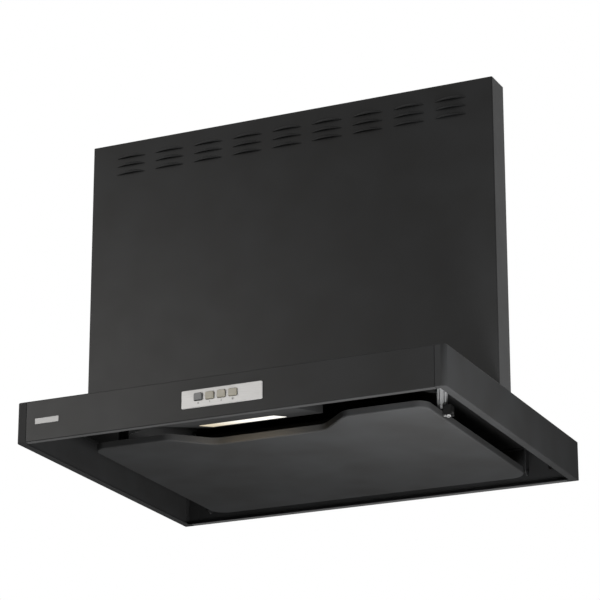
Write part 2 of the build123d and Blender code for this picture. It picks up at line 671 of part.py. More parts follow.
def catch(side, inboard, ball_x):
    """Bracket and clip of one catch, its near edge inboard of the panel's; returns its leaf."""
    near = PANEL_HALF - inboard
    far = near + CATCH_WIDTH
    rear = CATCH_Y + CATCH_DEPTH / 2
    front = CATCH_Y - CATCH_DEPTH / 2
    top = CEILING - CATCH_CLEARANCE
    bracket = block(near, far, front, rear, CATCH_BOTTOM, CEILING)
    bracket -= block(
        near + CATCH_SHEET, far - CATCH_SHEET, front + CATCH_SHEET, rear - CATCH_SHEET,
        CATCH_BOTTOM - OVER, CEILING - CATCH_SHEET,
    )
    for x in (near + CATCH_SLOT_SET, far - CATCH_SLOT_SET - CATCH_SLOT_WIDTH):
        bracket -= block(x, x + CATCH_SLOT_WIDTH, front - OVER, front + CATCH_SHEET, CATCH_BOTTOM - OVER, top)
    save(f"catch_bracket_{side}", on_side(side, bracket))

    edge = CATCH_SHEET + FIT
    head_top = CATCH_BOTTOM + CLIP_RISE
    neck_top = CATCH_BOTTOM - FIT
    neck_bottom = neck_top - CLIP_NECK
    head = block(near + edge, far - edge, front + edge, rear - edge, neck_bottom, head_top)
    jaw_inner = ball_x - JAW_WIDTH / 2
    jaw_outer = ball_x + JAW_WIDTH / 2
    jaw_front = CATCH_Y - JAW_DEPTH / 2
    jaw_rear = CATCH_Y + JAW_DEPTH / 2
    jaw_bottom = CATCH_Z - CLIP_BELOW
    jaw = block(jaw_inner, jaw_outer, jaw_front, jaw_rear, jaw_bottom, head_top)
    jaw -= block(near - FIT, far + FIT, front - FIT, rear + FIT, neck_top, head_top + OVER)
    neck = block(near + edge, jaw_outer, front + edge, rear - edge, neck_bottom, neck_top)
    mouth = BALL_RADIUS + BALL_CLEARANCE
    slot = rod_x(mouth, jaw_inner - OVER, jaw_outer + OVER, CATCH_Y, CATCH_Z)
    slot += block(
        jaw_inner - OVER, jaw_outer + OVER, CATCH_Y - mouth, CATCH_Y + mouth,
        jaw_bottom - OVER, CATCH_Z,
    )
    save(f"catch_clip_{side}", on_side(side, head + neck + jaw - slot))

    low = top - LEAF_HEIGHT
    middle = (top + low) / 2
    leaf = Polygon(
        (near, top), (near, top - LEAF_PRONG), (near - LEAF_FORK, middle), (near, low + LEAF_PRONG),
        (near, low), (near - LEAF_LENGTH, middle), align=None,
    )
    sheet = Pos(0, CATCH_Y + LEAF_THICKNESS / 2, 0) * extrude(Plane.XZ * leaf, LEAF_THICKNESS)
    return on_side(side, sheet)


def grease_filter():
    """Slotted filter tray under the intake, its handle and the rails that it slides in."""
    tray = block(-FILTER_HALF, FILTER_HALF, FILTER_FRONT, FILTER_REAR, FILTER_BASE, FILTER_TOP)
    tray -= block(
        -FILTER_HALF + SHEET, FILTER_HALF - SHEET, FILTER_FRONT + SHEET, FILTER_REAR - SHEET,
        FILTER_BASE + SHEET, FILTER_TOP + OVER,
    )
    field = 2 * (FILTER_HALF - FILTER_SLOT_BORDER)
    columns = int(field // FILTER_SLOT_PITCH)
    row_pitch = (FILTER_REAR - FILTER_FRONT - FILTER_SLOT_BORDER) / FILTER_SLOT_ROWS
    length = row_pitch - FILTER_SLOT_BORDER
    middle = (FILTER_FRONT + FILTER_REAR) / 2
    slots = []
    for column in range(columns):
        x = (column - (columns - 1) / 2) * FILTER_SLOT_PITCH
        for row in range(FILTER_SLOT_ROWS):
            y = middle + (row - (FILTER_SLOT_ROWS - 1) / 2) * row_pitch
            slots.append(Pos(x, y, FILTER_BASE) * Box(FILTER_SLOT_WIDTH, length, 4 * SHEET))
    save("grease_filter", tray - slots)

    y0 = FILTER_FRONT + HANDLE_SET
    half = HANDLE_WIDTH / 2
    low = FILTER_BASE - HANDLE_DROP
    handle = block(-half, half, y0, y0 + HANDLE_THICKNESS, low, FILTER_BASE)
    handle += block(-half, half, y0 - HANDLE_LIP, y0, low, low + HANDLE_THICKNESS)
    save("filter_handle", handle)

    inner = FILTER_HALF - FILTER_RAIL_LEDGE
    wall = FILTER_HALF + FIT
    outer = wall + FILTER_RAIL_SHEET
    ledge = FILTER_BASE - FIT
    front = FILTER_FRONT - FILTER_OVERLAP
    rail = block(wall, outer, front, FILTER_REAR, ledge - FILTER_RAIL_SHEET, CEILING)
    rail += block(inner, outer, front, FILTER_REAR, ledge - FILTER_RAIL_SHEET, ledge)
    rail += block(wall, outer + FILTER_RAIL_LEDGE, front, FILTER_REAR, CEILING - FILTER_RAIL_SHEET, CEILING)
    save("filter_rail_right", rail)
    save("filter_rail_left", mirrored(rail))


def fan_box():
    """Plates of the fan box, with the wall screw holes in its back."""
    low = RIM_HEIGHT
    high = BOX_TOP - SHEET
    back = block(-BOX_HALF, BOX_HALF, -SHEET, 0, low, high)
    for x in (-WALL_HOLE_X, WALL_HOLE_X):
        for height in (WALL_HOLE_LOW, WALL_HOLE_HIGH):
            back -= rod_y(WALL_HOLE_RADIUS, x, -OVER, OVER, low + height)
    save("fan_box_back", back)
    save("fan_box_front", block(-BOX_HALF, BOX_HALF, BOX_FRONT, BOX_FRONT + SHEET, low, high))
    side = block(BOX_HALF - SHEET, BOX_HALF, BOX_FRONT + SHEET, -SHEET, low, high)
    save("fan_box_right", side)
    save("fan_box_left", mirrored(side))
    top = block(-BOX_HALF, BOX_HALF, BOX_FRONT, 0, high, BOX_TOP)
    save("fan_box_top", top - rod_z(COLLAR_BORE, COLLAR_X, COLLAR_Y, high - OVER, BOX_TOP + OVER))


def scroll_path(inset):
    """One face of the scroll wall from the tongue's top round to the outlet's top, and its ends."""
    x, z, step = FAN_X, FAN_Z, SCROLL_STEP
    r1 = SCROLL_RADIUS - inset
    r2 = r1 + step
    r3 = r2 + step
    tongue_x = OUTLET_LEFT - SHEET + inset
    tongue_z = z + math.sqrt(r1**2 - (tongue_x - x) ** 2)
    right = x + step + r3
    half = math.sqrt(0.5)
    sweep = math.radians((90 + math.degrees(math.acos((tongue_x - x) / r1))) / 2 + 45)
    first = ThreePointArc(
        (tongue_x, tongue_z), (x + r1 * math.cos(sweep), z + r1 * math.sin(sweep)), (x - r1, z)
    )
    second = ThreePointArc(
        (x - r1, z), (x + step - r2 * half, z - r2 * half), (x + step, z - r2)
    )
    third = ThreePointArc(
        (x + step, z - r2), (x + step + r3 * half, z + step - r3 * half), (right, z + step)
    )
    start = Line((tongue_x, SCROLL_TOP), (tongue_x, tongue_z))
    end = Line((right, z + step), (right, SCROLL_TOP))
    return start + first + second + third + end, tongue_x, right


def scroll():
    """Scroll casing: spiral wall between two plates, and the bell mouth in the front plate."""
    outside, outside_left, outside_right = scroll_path(0)
    inside, inside_left, inside_right = scroll_path(SHEET)
    closing = Line((outside_left, SCROLL_TOP), (inside_left, SCROLL_TOP))
    closing += Line((outside_right, SCROLL_TOP), (inside_right, SCROLL_TOP))
    face = Plane.XZ * make_face(outside + inside + closing)
    save("scroll_wall", Pos(0, SCROLL_BACK, 0) * extrude(face, SCROLL_WIDTH))

    half = BOX_HALF - SHEET
    front = block(-half, half, SCROLL_FRONT - SHEET, SCROLL_FRONT, RIM_HEIGHT, SCROLL_TOP)
    mouth = BELL_THROAT + BELL_RADIUS + SHEET
    front -= rod_y(mouth, FAN_X, SCROLL_FRONT - OVER, SCROLL_FRONT + OVER, FAN_Z)
    save("scroll_front_plate", front)
    back = block(-half, half, SCROLL_BACK, SCROLL_BACK + SHEET, RIM_HEIGHT, SCROLL_TOP)
    save("scroll_back_plate", back)

    seat = SCROLL_FRONT - SHEET
    tip = FAN_FRONT + BELL_ENTRY
    start = seat - SHEET
    bend = start + BELL_RADIUS
    corner = math.sqrt(0.5)
    outer_r = BELL_RADIUS
    inner_r = BELL_RADIUS - SHEET
    centre = BELL_THROAT + BELL_RADIUS
    rim = mouth + BELL_FLANGE
    profile = Polyline((centre, start), (rim, start), (rim, seat), (centre, seat))
    profile += ThreePointArc(
        (centre, seat), (centre - inner_r * corner, bend - inner_r * corner), (centre - inner_r, bend)
    )
    profile += Polyline(
        (centre - inner_r, bend), (centre - inner_r, tip), (centre - outer_r, tip), (centre - outer_r, bend)
    )
    profile += ThreePointArc(
        (centre - outer_r, bend), (centre - outer_r * corner, bend - outer_r * corner), (centre, start)
    )
    save("bell_mouth", Pos(FAN_X, 0, FAN_Z) * revolve(make_face(profile), axis=Axis.Y))


def ring_y(outer, inner, y0, y1):
    """Flat ring about the fan axis."""
    hole = rod_y(inner, FAN_X, y0 - OVER, y1 + OVER, FAN_Z)
    return rod_y(outer, FAN_X, y0, y1, FAN_Z) - hole


def fan():
    """Sirocco fan on the motor shaft, held by a hand knob."""
    rim = FAN_RADIUS + FAN_RING_PROUD
    front_ring = ring_y(rim, FAN_EYE, FAN_FRONT, FAN_FRONT + FAN_RING)
    rear_ring = ring_y(rim, FAN_EYE, FAN_REAR - FAN_RING, FAN_REAR)
    save("fan_rings", front_ring + rear_ring)
    disc = rod_y(FAN_EYE - FIT, FAN_X, DISC_REAR - FAN_DISC, DISC_REAR, FAN_Z)
    disc += rod_y(HUB_RADIUS, FAN_X, HUB_FRONT, HUB_REAR, FAN_Z)
    bore = rod_y(SHAFT_RADIUS + RUNNING_FIT, FAN_X, FAN_FRONT - OVER, SCROLL_BACK, FAN_Z)
    save("fan_disc", disc - bore)
    chord = BLADE_DEPTH / math.cos(math.radians(BLADE_TILT))
    blade = Box(chord, FAN_WIDTH - 2 * FAN_RING, BLADE_THICKNESS)
    blade = Pos(FAN_RADIUS - BLADE_DEPTH / 2, 0, 0) * Rot(0, BLADE_TILT, 0) * blade
    centre = Pos(FAN_X, (FAN_FRONT + FAN_REAR) / 2, FAN_Z)
    blades = [centre * Rot(0, i * 360 / BLADE_COUNT, 0) * blade for i in range(BLADE_COUNT)]
    save("fan_blades", Compound(children=blades))

    save("motor_shaft", rod_y(SHAFT_RADIUS, FAN_X, HUB_FRONT - SHAFT_GRIP, SCROLL_BACK - FIT, FAN_Z))

    knob = rod_y(KNOB_RADIUS, FAN_X, HUB_FRONT - KNOB_LENGTH, HUB_FRONT, FAN_Z)
    knob = fillet(knob.faces().sort_by(Axis.Y)[0].edges(), KNOB_EDGE)
    for i in range(KNOB_FLUTES):
        angle = math.radians(i * 360 / KNOB_FLUTES)
        x = FAN_X + (KNOB_RADIUS + KNOB_FLUTE_SET) * math.cos(angle)
        z = FAN_Z + (KNOB_RADIUS + KNOB_FLUTE_SET) * math.sin(angle)
        knob -= rod_y(KNOB_FLUTE_RADIUS, x, HUB_FRONT - KNOB_LENGTH - OVER, HUB_FRONT + OVER, z)
    knob -= rod_y(SHAFT_RADIUS + RUNNING_FIT, FAN_X, HUB_FRONT - SHAFT_GRIP, HUB_FRONT + OVER, FAN_Z)
    save("fan_knob", knob)


def motor():
    """Motor inside the fan wheel, on the rear plate of the scroll, with its run capacitor."""
    face = SCROLL_BACK - MOTOR_LENGTH
    can = rod_y(MOTOR_RADIUS, FAN_X, face, SCROLL_BACK, FAN_Z)
    can = fillet(can.faces().sort_by(Axis.Y)[0].edges(), MOTOR_FILLET)
    can += rod_y(MOTOR_BOSS_RADIUS, FAN_X, face - MOTOR_BOSS_LENGTH, face, FAN_Z)
    flange_front = SCROLL_BACK - MOTOR_FLANGE_THICKNESS
    can += rod_y(MOTOR_FLANGE_RADIUS, FAN_X, flange_front, SCROLL_BACK, FAN_Z)
    bore_front = face - MOTOR_BOSS_LENGTH - OVER
    can -= rod_y(SHAFT_RADIUS + RUNNING_FIT, FAN_X, bore_front, SCROLL_BACK + OVER, FAN_Z)
    save("motor", can)

    heads = []
    for i in range(MOTOR_SCREW_COUNT):
        angle = math.radians(45 + i * 360 / MOTOR_SCREW_COUNT)
        x = FAN_X + MOTOR_SCREW_CIRCLE * math.cos(angle)
        z = FAN_Z + MOTOR_SCREW_CIRCLE * math.sin(angle)
        heads.append(rod_y(MOTOR_SCREW_RADIUS, x, flange_front - MOTOR_SCREW_HEIGHT, flange_front, z))
    save("motor_screws", Compound(children=heads))

    z = RIM_HEIGHT + CAPACITOR_HEIGHT
    capacitor = rod_y(CAPACITOR_RADIUS, CAPACITOR_X, SCROLL_BACK - CAPACITOR_LENGTH, SCROLL_BACK, z)
    save("capacitor", fillet(capacitor.faces().sort_by(Axis.Y)[0].edges(), CAPACITOR_EDGE))


def collar():
    """Outlet collar on the fan box, its hinge rod and the two half-round flaps."""
    top = BOX_TOP + COLLAR_HEIGHT
    tube = rod_z(COLLAR_RADIUS, COLLAR_X, COLLAR_Y, BOX_TOP, top)
    tube += rod_z(COLLAR_RADIUS + COLLAR_FLANGE, COLLAR_X, COLLAR_Y, BOX_TOP, BOX_TOP + COLLAR_WALL)
    tube -= rod_z(COLLAR_BORE, COLLAR_X, COLLAR_Y, BOX_TOP - OVER, top + OVER)
    seat_z = BOX_TOP + SEAT_HEIGHT
    seat = rod_z(COLLAR_RADIUS, COLLAR_X, COLLAR_Y, seat_z, seat_z + SEAT_THICKNESS)
    seat -= rod_z(COLLAR_BORE - SEAT_WIDTH, COLLAR_X, COLLAR_Y, seat_z - OVER, seat_z + OVER)
    axis_z = FLAP_Z + FLAP_THICKNESS / 2
    notch = ROD_RADIUS + SLEEVE_WALL + FIT
    seat -= block(
        COLLAR_X - notch, COLLAR_X + notch, COLLAR_Y - COLLAR_BORE, COLLAR_Y + COLLAR_BORE,
        seat_z - OVER, seat_z + OVER,
    )
    rod_start = COLLAR_Y - COLLAR_RADIUS
    rod_end = COLLAR_Y + COLLAR_RADIUS
    hole = rod_y(ROD_RADIUS + RUNNING_FIT, COLLAR_X, rod_start - OVER, rod_end + OVER, axis_z)
    save("duct_collar", tube + seat - hole)
    reach = math.sqrt(COLLAR_RADIUS**2 - ROD_RADIUS**2)
    save("damper_rod", rod_y(ROD_RADIUS, COLLAR_X, COLLAR_Y - reach, COLLAR_Y + reach, axis_z))

    radius = COLLAR_BORE - FLAP_GAP
    disc = rod_z(radius, 0, 0, -FLAP_THICKNESS / 2, FLAP_THICKNESS / 2)
    sleeve_radius = ROD_RADIUS + SLEEVE_WALL
    bore_radius = ROD_RADIUS + RUNNING_FIT
    half_disc = disc & block(-radius, -sleeve_radius - FIT, -radius, radius, -OVER, OVER)
    start = -radius + SLEEVE_END_GAP
    pitch = 2 * (radius - SLEEVE_END_GAP) / SLEEVE_COUNT
    for side, turn in (("left", 0), ("right", 180)):
        flap = half_disc
        for i in range(0, SLEEVE_COUNT, 2):
            y0 = start + i * pitch + SLEEVE_GAP / 2
            y1 = start + (i + 1) * pitch - SLEEVE_GAP / 2
            knuckle = rod_y(sleeve_radius, 0, y0, y1, 0)
            knuckle += block(-sleeve_radius - FIT - OVER, 0, y0, y1, -FLAP_THICKNESS / 2, FLAP_THICKNESS / 2)
            flap += knuckle - rod_y(bore_radius, 0, y0 - OVER, y1 + OVER, 0)
        save(f"damper_flap_{side}", Pos(COLLAR_X, COLLAR_Y, axis_z) * Rot(0, 0, turn) * flap)


def terminal_box():
    """Terminal box on the fan box, with the gland where the supply cable goes in."""
    half = TERMINAL_WIDTH / 2
    front = TERMINAL_Y - TERMINAL_DEPTH / 2
    rear = TERMINAL_Y + TERMINAL_DEPTH / 2
    top = BOX_TOP + TERMINAL_HEIGHT
    wall = TERMINAL_WALL
    box = block(TERMINAL_X - half, TERMINAL_X + half, front, rear, BOX_TOP, top)
    edges = box.edges().filter_by(Axis.Z) + box.faces().sort_by(Axis.Z)[-1].edges()
    box = fillet(edges, TERMINAL_RADIUS)
    box -= block(
        TERMINAL_X - half + wall, TERMINAL_X + half - wall, front + wall, rear - wall,
        BOX_TOP - OVER, top - wall,
    )
    z = BOX_TOP + TERMINAL_HEIGHT / 2
    box -= rod_y(GLAND_BORE, TERMINAL_X, rear - wall - OVER, rear + OVER, z)
    save("terminal_box", box)
    gland = rod_y(GLAND_RADIUS, TERMINAL_X, rear, rear + GLAND_LENGTH, z)
    nut = extrude(RegularPolygon(GLAND_HEX, 6), GLAND_HEX_LENGTH)
    gland += Pos(TERMINAL_X, rear + GLAND_HEX_LENGTH, z) * Rot(90, 0, 0) * nut
    gland -= rod_y(GLAND_BORE, TERMINAL_X, rear - OVER, rear + GLAND_LENGTH + OVER, z)
    save("cable_gland", gland)


def louvre_spindle(shrink):
    """Spindle along X whose upper front quarter is the pressed hood of one louvre."""
    half = LOUVRE_LENGTH / 2 - shrink
    rise = LOUVRE_RISE - shrink
    bow = ThreePointArc((-half, LOUVRE_TIP), (0, rise), (half, LOUVRE_TIP))
    base = Polyline((half, LOUVRE_TIP), (half, 0), (-half, 0), (-half, LOUVRE_TIP))
    return revolve(make_face(bow + base), axis=Axis.X)


def curtain():
    """Curtain panel: folded sheet with rows of louvres, its brackets and screws."""
    z0 = RIM_HEIGHT
    z1 = HEIGHT
    back = CURTAIN_BACK + CURTAIN_RETURN
    shell = block(-HALF, HALF, CURTAIN_FRONT, back, z0, z1)
    bends = shell.edges().filter_by(Axis.Z).group_by(Axis.Y)[0]
    shell = fillet(bends, CURTAIN_BEND)
    hollow = block(-HALF + SHEET, HALF - SHEET, CURTAIN_BACK, back + OVER, z0 + SHEET, z1 - SHEET)
    hollow_bends = hollow.edges().filter_by(Axis.Z).group_by(Axis.Y)[0]
    shell -= fillet(hollow_bends, CURTAIN_BEND - SHEET)
    inner = HALF - SHEET
    shell -= block(-inner, inner, CURTAIN_BACK + CURTAIN_FLANGE, back + OVER, z0 - OVER, z1 + OVER)

    reach = LOUVRE_RISE + OVER
    before = block(-LOUVRE_LENGTH, LOUVRE_LENGTH, -reach, SHEET / 2, 0, reach)
    under = block(-LOUVRE_LENGTH, LOUVRE_LENGTH, -reach, 0, 0, reach)
    through = block(-LOUVRE_LENGTH, LOUVRE_LENGTH, -OVER, SHEET + OVER, LOUVRE_SILL, reach)
    outer = louvre_spindle(0) & before
    slit = louvre_spindle(LOUVRE_SHEET) & (under + through)
    hoods = []
    slits = []
    for group in range(LOUVRE_GROUPS):
        x = (group - (LOUVRE_GROUPS - 1) / 2) * LOUVRE_GROUP_PITCH
        for row in range(LOUVRE_ROWS):
            place = Pos(x, CURTAIN_FRONT, HEIGHT - LOUVRE_TOP_SET - row * LOUVRE_ROW_PITCH)
            hoods.append(place * outer)
            slits.append(place * slit)
    save("curtain_panel", shell + hoods - slits)

    top = BOX_TOP - BRACKET_TOP_SET
    low = top - BRACKET_FLANGE
    x0 = BRACKET_X - BRACKET_WIDTH / 2
    x1 = BRACKET_X + BRACKET_WIDTH / 2
    bracket = block(x0, x1, CURTAIN_BACK, BOX_FRONT, top - BRACKET_SHEET, top)
    bracket += block(x0, x1, CURTAIN_BACK, CURTAIN_BACK + BRACKET_SHEET, low, top)
    bracket += block(x0, x1, BOX_FRONT - BRACKET_SHEET, BOX_FRONT, low, top)
    save("curtain_brackets", pair(bracket))

    heads = [
        screw_head(Plane((x, CURTAIN_SCREW_Y, RIM_HEIGHT + SHEET))) for x in CURTAIN_SCREW_X
    ]
    save("curtain_screws", Compound(children=heads))


os.makedirs("parts", exist_ok=True)
canopy()
badge()
switches()
lamp()
flow_panel()
catches()
grease_filter()
fan_box()
scroll()
fan()
motor()
collar()
terminal_box()
curtain()
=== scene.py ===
import json
import math

import bpy
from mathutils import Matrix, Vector


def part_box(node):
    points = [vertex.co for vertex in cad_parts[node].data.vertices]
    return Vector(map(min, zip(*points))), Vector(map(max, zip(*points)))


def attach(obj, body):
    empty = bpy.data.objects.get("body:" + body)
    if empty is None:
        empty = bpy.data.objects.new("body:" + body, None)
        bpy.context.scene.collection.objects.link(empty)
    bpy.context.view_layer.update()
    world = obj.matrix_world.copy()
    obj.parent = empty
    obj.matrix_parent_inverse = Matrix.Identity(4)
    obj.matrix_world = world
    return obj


# Range hood hung in the air before a white background, seen from below and from its right.
# Metres, in the frame of the wall screw holes: X to the right, Y into the wall, Z up.

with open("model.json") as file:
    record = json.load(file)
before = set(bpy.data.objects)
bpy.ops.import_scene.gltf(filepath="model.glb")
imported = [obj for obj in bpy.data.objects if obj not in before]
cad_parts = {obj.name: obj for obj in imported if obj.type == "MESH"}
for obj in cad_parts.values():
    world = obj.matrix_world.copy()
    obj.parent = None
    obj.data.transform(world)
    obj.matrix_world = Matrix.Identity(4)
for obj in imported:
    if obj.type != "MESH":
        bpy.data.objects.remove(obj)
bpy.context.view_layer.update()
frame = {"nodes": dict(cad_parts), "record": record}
nodes = frame["nodes"]
scene = bpy.context.scene

# Camera: place, turn and tilt in degrees, focal length and sensor width in millimetres
CAMERA_PLACE = (1.838, -4.261, -1.539)
CAMERA_YAW = 24.98
CAMERA_PITCH = 19.09
CAMERA_LENS = 163.9
CAMERA_SENSOR = 36.0

# Surround
FLOOR_Z = -2.2
FLOOR_HALF = 30.0
FLOOR_DARK = 0.86
FLOOR_LIGHT = 0.88
FLOOR_MOTTLE = 0.5
FLOOR_ROUGHNESS = 0.9
FLOOR_PLAIN_RADIUS = 1.5
FLOOR_WHITE_RADIUS = 4.5
AMBIENT = 0.22

# Square soft boxes: place, target, size and power in watts
KEY_PLACE = (-1.4, -2.1, 0.2)
KEY_TARGET = (-0.2, -0.5, 0.0)
KEY_SIZE = 1.1
KEY_POWER = 34.0
KEY_COLOUR = (1.0, 0.98, 0.95)
RIGHT_PLACE = (0.85, -0.63, -0.36)
RIGHT_TARGET = (0.375, -0.5, -0.28)
RIGHT_SIZE = 0.35
RIGHT_POWER = 1.9
BELOW_PLACE = (0.52, -0.68, -0.86)
BELOW_TARGET = (0.25, -0.35, -0.3)
BELOW_SIZE = 0.3
BELOW_POWER = 9.0

# Softening of the sheet edges
EDGE_WIDTH = 0.0004
EDGE_SEGMENTS = 2
EDGE_ANGLE = 40.0
FLAT_ANGLE = 0.2
WELD_DISTANCE = 0.00001
SOFTENED = ("front_panel", "side_panel_left", "side_panel_right", "canopy_top", "lamp_housing")

# Paint: size of its clouds, gloss patches and orange peel, and how far its roughness strays
PAINT_CLOUD = 0.09
PAINT_PATCH = 0.03
PAINT_STRAY = 0.04
PEEL_GRAIN = 0.0012
PEEL_DEPTH = 0.00003
PEEL_DETAIL = 3.0

# Zinc: ends of its range of shades, how far its roughness strays down and up, and its haze
ZINC_DARK_END = 0.1
ZINC_LIGHT_END = 0.9
ZINC_STRAY_DOWN = 0.08
ZINC_STRAY_UP = 0.12
HAZE_GRAIN = 0.002
HAZE_DEPTH = 0.00003

# Brushed metal: fineness and depth of its strokes, how far its roughness strays, and ways of brushing
STROKE_DETAIL = 4.0
STROKE_DEPTH = 0.00001
STROKE_STRAY_DOWN = 0.06
STROKE_STRAY_UP = 0.08
STROKES_ALONG_X = (0.02, 1.0, 1.0)
STROKES_ALONG_Y = (1.0, 0.02, 1.0)
NO_STROKES = (1.0, 1.0, 1.0)

# Mouldings: size of their clouds, spark texture, and how far their roughness strays
MOULDING_CLOUD = 0.02
MOULDING_STRAY = 0.05
SPARK_GRAIN = 0.0006
SPARK_DEPTH = 0.00004

# Circuit board
BOARD_ROUGHNESS = 0.35
BOARD_GREEN = (0.03, 0.13, 0.05)
BOARD_DARK_GREEN = (0.02, 0.09, 0.035)
BOARD_TRACK = (0.09, 0.22, 0.09)
BOARD_TRACK_SCALE = 120.0
BOARD_TRACK_DEPTH = 0.00005

# Bulb
OPAL_ROUGHNESS = 0.2
OPAL_DARK = (0.86, 0.85, 0.8)
OPAL_LIGHT = (0.93, 0.92, 0.88)
OPAL_CLOUD = 0.01
OPAL_COAT = 0.5

# Lamp cover: its frosting, its glow from end to end, and the light that it throws
FROST_ROUGHNESS = 0.5
FROST_DARK = (0.2, 0.19, 0.16)
FROST_LIGHT = (0.26, 0.25, 0.22)
FROST_GRAIN = 0.004
FROST_DEPTH = 0.00005
LENS_WARM = (0.52, 0.44, 0.3)
LENS_WHITE = (1.0, 0.98, 0.93)
LENS_WARM_END = 0.15
LENS_WHITE_END = 0.6
LENS_GLOW = 1.0
LENS_LIGHT_COLOUR = (1.0, 0.78, 0.5)
LENS_LIGHT_WIDTH = 0.13
LENS_LIGHT_LENGTH = 0.045
LENS_LIGHT_POWER = 0.12
LENS_LIGHT_GAP = 0.004

# Marks under the push buttons
LEGENDS = ("0", "1", "2", "sun")
LEGEND_HEIGHT = 0.0046
LEGEND_BOLD = 0.025
LEGEND_DROP = 0.0104
LEGEND_PROUD = 0.00002
SUN_RADIUS = 0.0012
SUN_RAY_INNER = 0.0017
SUN_RAY_OUTER = 0.0027
SUN_RAY_WIDTH = 0.0006
SUN_RAYS = 8

# Small fasteners; the profile gives each ring's share of the radius and of the height
RIVET_RADIUS = 0.0024
RIVET_HEIGHT = 0.0012
RIVET_PROFILE = ((1.0, 0.0), (0.85, 0.6), (0.5, 0.92))
RIVET_SIDES = 16
RIVET_PITCH = 0.08
RIVET_EDGE = 0.008

# Materials by name, filled as they are made
MATERIALS = {}


# Building blocks of the materials

def start(name, roughness, metallic=0.0, specular=0.5):
    """New material; returns its node tree and its shader."""
    material = bpy.data.materials.new(name)
    material.use_nodes = True
    MATERIALS[name] = material
    tree = material.node_tree
    shader = tree.nodes["Principled BSDF"]
    shader.inputs["Roughness"].default_value = roughness
    shader.inputs["Metallic"].default_value = metallic
    shader.inputs["Specular IOR Level"].default_value = specular
    return tree, shader


def position(tree, stretch=(1.0, 1.0, 1.0)):
    """Place on the piece in metres, times stretch along each axis."""
    coordinates = tree.nodes.new("ShaderNodeTexCoord")
    mapping = tree.nodes.new("ShaderNodeMapping")
    mapping.inputs["Scale"].default_value = stretch
    tree.links.new(coordinates.outputs["Object"], mapping.inputs["Vector"])
    return mapping.outputs["Vector"]


def noise(tree, vector, grain, detail=2.0):
    """Noise with grains about grain metres across, from 0 to 1."""
    node = tree.nodes.new("ShaderNodeTexNoise")
    node.inputs["Scale"].default_value = 1.0 / grain
    node.inputs["Detail"].default_value = detail
    tree.links.new(vector, node.inputs["Vector"])
    return node.outputs["Fac"]


def crystals(tree, vector, size):
    """Value that is steady within each crystal, about size metres across."""
    node = tree.nodes.new("ShaderNodeTexVoronoi")
    node.inputs["Scale"].default_value = 1.0 / size
    tree.links.new(vector, node.inputs["Vector"])
    return node.outputs["Color"]


def shades(tree, value, dark, light, low=0.3, high=0.7):
    """Colour from dark to light as value goes from low to high."""
    ramp = tree.nodes.new("ShaderNodeValToRGB")
    first, last = ramp.color_ramp.elements
    first.position = low
    first.color = (*dark, 1.0)
    last.position = high
    last.color = (*light, 1.0)
    tree.links.new(value, ramp.inputs["Fac"])
    return ramp.outputs["Color"]


def between(tree, value, low, high, start_at=0.0, end_at=1.0):
    """Number from low to high as value goes from start_at to end_at."""
    node = tree.nodes.new("ShaderNodeMapRange")
    node.inputs["From Min"].default_value = start_at
    node.inputs["From Max"].default_value = end_at
    node.inputs["To Min"].default_value = low
    node.inputs["To Max"].default_value = high
    tree.links.new(value, node.inputs["Value"])
    return node.outputs["Result"]


def combine(tree, operation, first, second):
    """Number that an operation makes of two numbers."""
    node = tree.nodes.new("ShaderNodeMath")
    node.operation = operation
    tree.links.new(first, node.inputs[0])
    tree.links.new(second, node.inputs[1])
    return node.outputs[0]


def blend(tree, share, first, second):
    """Shader that goes from the first to the second as share goes from 0 to 1."""
    node = tree.nodes.new("ShaderNodeMixShader")
    tree.links.new(share, node.inputs["Fac"])
    tree.links.new(first, node.inputs[1])
    tree.links.new(second, node.inputs[2])
    return node.outputs[0]


def colour(tree, shader, shade):
    """Let shade be the surface's colour."""
    tree.links.new(shade, shader.inputs["Base Color"])


def gloss(tree, shader, value, smoothest, roughest):
    """Let the roughness go from smoothest to roughest with value."""
    tree.links.new(between(tree, value, smoothest, roughest), shader.inputs["Roughness"])


def relief(tree, shader, height, depth):
    """Fine relief, depth metres deep."""
    node = tree.nodes.new("ShaderNodeBump")
    node.inputs["Distance"].default_value = depth
    tree.links.new(height, node.inputs["Height"])
    tree.links.new(node.outputs["Normal"], shader.inputs["Normal"])


def grey(shade, tint=0.0):
    """Grey of one shade, bluer for a larger tint."""
    return (shade, shade * (1.0 + tint / 2), shade * (1.0 + tint))


# Materials, one function for each kind of surface

def satin_paint(name, dark, light, roughness, specular, grain=PEEL_GRAIN, depth=PEEL_DEPTH):
    """Black powder coat: soft clouds of shade, patchy gloss and a fine orange peel."""
    tree, shader = start(name, roughness, specular=specular)
    place = position(tree)
    colour(tree, shader, shades(tree, noise(tree, place, PAINT_CLOUD), dark, light))
    patches = noise(tree, place, PAINT_PATCH)
    gloss(tree, shader, patches, roughness - PAINT_STRAY, roughness + PAINT_STRAY)
    relief(tree, shader, noise(tree, place, grain, PEEL_DETAIL), depth)


def zinc_sheet(name, dark, light, spangle, roughness, metallic=0.8):
    """Galvanised sheet: crystals of differing shade, with a faint haze over them."""
    tree, shader = start(name, roughness, metallic=metallic)
    place = position(tree)
    flakes = crystals(tree, place, spangle)
    colour(tree, shader, shades(tree, flakes, dark, light, ZINC_DARK_END, ZINC_LIGHT_END))
    gloss(tree, shader, flakes, roughness - ZINC_STRAY_DOWN, roughness + ZINC_STRAY_UP)
    relief(tree, shader, noise(tree, place, HAZE_GRAIN), HAZE_DEPTH)


